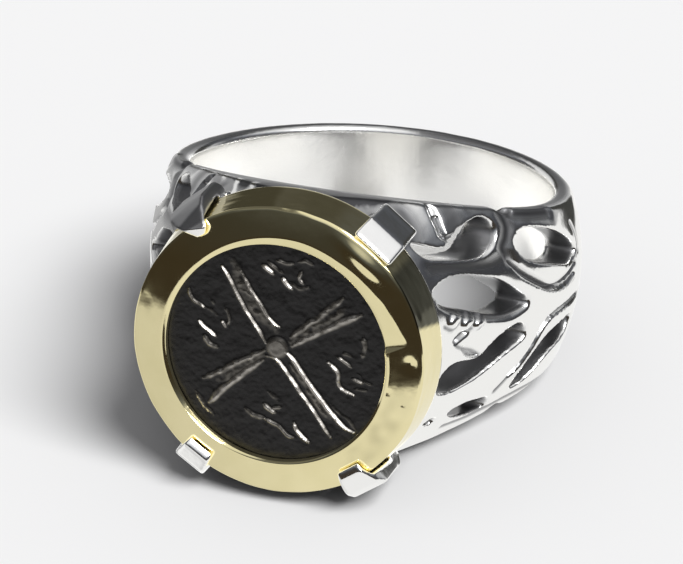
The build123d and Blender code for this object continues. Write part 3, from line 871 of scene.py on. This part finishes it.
# The tongue of metal inside the hook-shaped opening is left without patina, so it is bright
tongue = smooth_line([(12.08, 5.12), (11.72, 4.61), (11.17, 4.29), (10.29, 4.37), (9.41, 4.69), (8.86, 5.14)])
from_tongue, _ = distance_to_line(-local[:, 1], local[:, 2], tongue)
patina_and_dark_reflection *= 1 - 0.95 * np.exp(-((from_tongue / 0.55) ** 4))
_, share = cut_into(local)
# The round window behind the coin stays bright
in_window = (np.hypot(local[:, 0], local[:, 2]) < WINDOW_RADIUS) & (local[:, 1] < WINDOW_START)
patina_and_dark_reflection = np.where(in_window, 0, patina_and_dark_reflection)
patina_and_dark_reflection = np.maximum(patina_and_dark_reflection, CUT_PATINA * share * np.clip((0.6 - depth) / 0.2, 0, 1))
print("blackened:", round(float((patina_and_dark_reflection > 0.5).mean()) * 100), "% of the points")

# %% The painted dark edge, and the levels put on the mesh
# Where the head begins, how high and how far to the right its dark rim is, and how high its black edge; rim
# and edge are painted dark reflections
HEAD_START, RIM_HIGH, RIM_RIGHT, EDGE_HIGH = -9.2, 5.6, 4.2, 6.80
on_head = np.clip((HEAD_START - local[:, 1]) / 0.6, 0, 1)
# The head's rim behind the gold is a painted dark reflection, broken by light strokes on the left
rim_dark = np.clip((local[:, 2] - RIM_HIGH) / 0.4, 0, 1) * on_head
rim_dark *= np.clip((RIM_RIGHT - local[:, 0]) / 0.8, 0, 1)
waves = np.cos(2 * np.pi * (local[:, 0] + 0.25 * local[:, 2]) / STROKE_SPACING)
strokes = np.clip((waves - 0.45) / 0.3, 0, 1) * (local[:, 0] < STROKES_END)
patina_and_dark_reflection = np.maximum(patina_and_dark_reflection, RIM_DARK_REFLECTION * rim_dark * (1 - strokes))
satin = np.clip((0.12 - from_bore) / 0.1, 0, 1)
# The head's upper edge is a painted dark reflection as well
edge_dark = np.clip((local[:, 2] - EDGE_HIGH) / 0.15, 0, 1) * on_head
satin *= 1 - edge_dark
patina_and_dark_reflection = np.maximum(patina_and_dark_reflection * (1 - satin), edge_dark * (1 - strokes))
put_level(silver_hoop, "satin", satin)
# The level holds the patina of the hollows and the painted dark reflections on the head
put_level(silver_hoop, "patina_and_dark_reflection", patina_and_dark_reflection)
print("patina on", round(float((patina_and_dark_reflection > 0.5).mean()) * 100), "% of the points")

# %% [markdown]
# ## Prongs
# Four prongs hold the frame. On the real ring each is a flat silver bar, soldered to the head and
# pushed over the gold by hand, so no two are alike. They could be sculpted, but a bar that is led from
# place to place is closer to how they were made: a flat rectangle is extruded along it, its edges are
# bevelled, and it is rebuilt from small cubes and smoothed until it looks worn. The body of the upper
# left one is dark in the photograph, so a painted dark reflection darkens it here.

# %% The four prongs
foot = [
    # outer radius and height, inner radius and height
    (8.20, 12.30, 6.68, 12.30), (8.58, 12.75, 6.68, 12.75), (8.58, 13.10, 6.70, 13.10),
    (8.56, 13.42, 7.92, 13.42),
]
prongs = {
    # turn, half width, and the rest of the bar: as for the foot, then left, right and skew at each place
    "prong_upper_right": (53.0, 1.08, [
        (8.52, 15.15, 7.68, 15.40, 1.12, -1.12, 0.0), (7.80, 16.30, 7.58, 15.97, 1.16, -1.16, 0.0),
    ]),
    "prong_upper_left": (129.0, 1.05, [
        (8.50, 14.80, 7.66, 15.30, 1.08, -1.05, 0.0), (8.24, 15.50, 7.62, 15.90, 0.95, -1.02, 0.08),
        (7.44, 16.46, 7.42, 16.08, 0.40, -0.95, 0.32), (6.84, 16.30, 6.82, 16.20, -0.18, -0.66, 0.02),
    ]),
    "prong_lower_left": (237.0, 0.95, [
        (8.52, 15.25, 7.66, 15.50, 0.92, -0.92, 0.0), (8.05, 16.00, 7.60, 15.98, 0.86, -0.86, 0.0),
        (6.99, 16.58, 6.90, 16.20, 0.78, -0.78, 0.0), (6.62, 16.30, 6.60, 16.22, 0.74, -0.74, 0.0),
    ]),
    "prong_lower_right": (306.0, 1.08, [
        (8.52, 15.25, 7.66, 15.50, 1.08, -1.02, 0.0), (8.10, 16.00, 7.60, 15.98, 1.02, -0.90, 0.0),
        (7.20, 16.52, 7.10, 16.16, 0.82, -0.64, 0.0), (6.78, 16.42, 6.68, 16.22, 0.76, -0.56, 0.0),
    ]),
}


def bent_bar(name, turn, half, rest):
    """A flat bar extruded from its foot to its tip, turned to its place round the coin."""
    nothing_selected()
    bpy.ops.mesh.primitive_plane_add(size=2)
    bar = bpy.context.object
    bar.name = name
    bpy.ops.object.mode_set(mode="EDIT")
    bars = bmesh.from_edit_mesh(bar.data)
    corner_of = {corner.co.to_tuple(9): (corner.co.x > 0, corner.co.y > 0) for corner in bars.verts}
    for station, place in enumerate([(*row, half, -half, 0.0) for row in foot] + rest):
        outer_r, outer_z, inner_r, inner_z, left, right, skew = place
        if station:
            bpy.ops.mesh.extrude_region_move()
            bars = bmesh.from_edit_mesh(bar.data)
        moved = {}
        for corner in bars.verts:
            if corner.select:
                outer, on_left = corner_of[corner.co.to_tuple(9)]
                radius, height = (outer_r, outer_z) if outer else (inner_r, inner_z)
                radius += skew if on_left else -skew
                corner.co = (radius * MM, (left if on_left else right) * MM, height * MM)
                moved[corner.co.to_tuple(9)] = (outer, on_left)
        corner_of = moved
        bmesh.update_edit_mesh(bar.data)
    bpy.ops.mesh.select_all(action="SELECT")
    bpy.ops.mesh.normals_make_consistent(inside=False)
    bpy.ops.object.mode_set(mode="OBJECT")
    bar.rotation_euler = (0, 0, radians(turn))
    bpy.ops.object.transform_apply(location=True, rotation=True, scale=True)
    apply_modifier(bar, "BEVEL", width=0.06 * MM, segments=2, limit_method="ANGLE", angle_limit=radians(20))
    apply_modifier(bar, "REMESH", mode="VOXEL", voxel_size=0.06 * MM, use_smooth_shade=True)
    apply_modifier(bar, "SMOOTH", factor=0.5, iterations=34)
    lay_down(bar)
    work_on(bar)
    bpy.ops.object.shade_smooth_by_angle(angle=radians(35))
    return bar


prong_pieces = [bent_bar(name, *row) for name, row in prongs.items()]
# How dark the painted dark reflection on the upper left prong's body is, and how softly it fades where the
# prong reaches over the face
DARK_PRONG, DARK_PRONG_FADE = 0.75, 0.1
to_face = face_place.inverted()
for bar in prong_pieces:
    darkness = np.zeros(len(bar.data.vertices))
    if bar.name == "prong_upper_left":
        for corner in bar.data.vertices:
            place = to_face @ corner.co
            beyond = (hypot(place.x, place.y) / MM - face_start) / DARK_PRONG_FADE
            darkness[corner.index] = DARK_PRONG * min(1, max(0, beyond))
    put_level(bar, "patina_and_dark_reflection", darkness)
print("prongs:", [len(bar.data.polygons) for bar in prong_pieces])

# %% [markdown]
# ## Finishes
# Pictures could be wrapped round the pieces, but then each would need a flat layout. So each finish is
# built from nodes that read the piece's own coordinates and the levels on its mesh, and nothing slides
# when the ring is turned.

# %% Tools for the finishes
def new_metal(name):
    """A metal with its tree and its shader."""
    metal = bpy.data.materials.new(name)
    metal.use_nodes = True
    shader = metal.node_tree.nodes["Principled BSDF"]
    shader.inputs["Metallic"].default_value = 1.0
    return metal, metal.node_tree, shader


def grain_noise(tree, scale, detail):
    """Noise over the piece's own place, scale in waves per metre."""
    node = tree.nodes.new("ShaderNodeTexNoise")
    node.inputs["Scale"].default_value = scale
    node.inputs["Detail"].default_value = detail
    node.inputs["Roughness"].default_value = 0.5
    coordinates = tree.nodes.new("ShaderNodeTexCoord")
    tree.links.new(coordinates.outputs["Object"], node.inputs["Vector"])
    return node.outputs["Fac"]


def bump(tree, height, strength, distance):
    """A bump from a height socket, distance in metres."""
    node = tree.nodes.new("ShaderNodeBump")
    node.inputs["Strength"].default_value = strength
    node.inputs["Distance"].default_value = distance
    tree.links.new(height, node.inputs["Height"])
    return node.outputs["Normal"]


def level(tree, name):
    """A number that the mesh carries at each point."""
    node = tree.nodes.new("ShaderNodeAttribute")
    node.attribute_name = name
    return node.outputs["Fac"]


print("tools for the finishes ready")

# %% Silver
silver, tree, shader = new_metal("polished_silver")
# The level holds the patina of the hollows and the painted dark reflections on the head and the upper left
# prong
dark = level(tree, "patina_and_dark_reflection")
bright_to_black = ramp(tree, [
    (0.0, (0.95, 0.945, 0.93)), (0.35, (0.50, 0.50, 0.50)),
    (0.8, (0.24, 0.24, 0.245)), (1.0, (0.08, 0.08, 0.085)),
], dark)
tree.links.new(bright_to_black, shader.inputs["Base Color"])
satin_share = level(tree, "satin")
rough_cuts = ramp(tree, [(0.0, (0.12, 0.12, 0.12)), (1.0, (0.42, 0.42, 0.42))], dark)
tree.links.new(mixed(tree, satin_share, rough_cuts, (0.24, 0.24, 0.24)), shader.inputs["Roughness"])
tree.links.new(bump(tree, grain_noise(tree, 900, 3), 0.25, 0.00005), shader.inputs["Normal"])
for piece in (silver_hoop, *prong_pieces):
    piece.data.materials.append(silver)
print(silver.name, "on", 1 + len(prong_pieces), "pieces")

# %% Gold
gold, tree, shader = new_metal("pale_gold")
cloud = grain_noise(tree, 500, 4)
bright_gold = ramp(tree, [(0.3, (0.83, 0.745, 0.43)), (0.7, (0.89, 0.80, 0.48))], cloud)
# The painted dark reflection on the wall and the darker clouds on the face darken the gold
gold_with_painted_reflection_and_cloud = mixed(tree, level(tree, "painted_reflection_and_cloud"), bright_gold, (0.075, 0.072, 0.045))
tree.links.new(gold_with_painted_reflection_and_cloud, shader.inputs["Base Color"])
rough_grain = ramp(tree, [(0.3, (0.06, 0.06, 0.06)), (0.7, (0.12, 0.12, 0.12))], grain_noise(tree, 1800, 4))
tree.links.new(rough_grain, shader.inputs["Roughness"])
tree.links.new(bump(tree, grain_noise(tree, 900, 3), 0.15, 0.00004), shader.inputs["Normal"])
gold_frame.data.materials.append(gold)
print(gold.name, "on the frame")

# %% Blackened coin
black, tree, shader = new_metal("blackened_silver")
black_to_worn = ramp(tree, [
    (0.06, (0.042, 0.041, 0.041)), (0.30, (0.15, 0.14, 0.125)),
    (0.85, (0.60, 0.57, 0.53)), (1.0, (0.76, 0.75, 0.72)),
], level(tree, "worn"))
tree.links.new(black_to_worn, shader.inputs["Base Color"])
shader.inputs["Roughness"].default_value = 0.38
tree.links.new(bump(tree, grain_noise(tree, 2500, 5), 0.5, 0.00004), shader.inputs["Normal"])
dark_coin.data.materials.append(black)
print("finishes:", silver.name, gold.name, black.name)

# %% [markdown]
# ## Back onto the frame
# Each piece says which body it rides on, and the CAD node that it stands for is hidden.

# %% Ride and replace
for piece, node, slot in (
    (silver_hoop, "ring_shank", "silver"),
    (gold_frame, "bezel_frame", "gold"),
    (dark_coin, "coin", "dark_coin"),
):
    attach(piece, "root")
    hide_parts(node)
for bar in prong_pieces:
    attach(bar, "root")
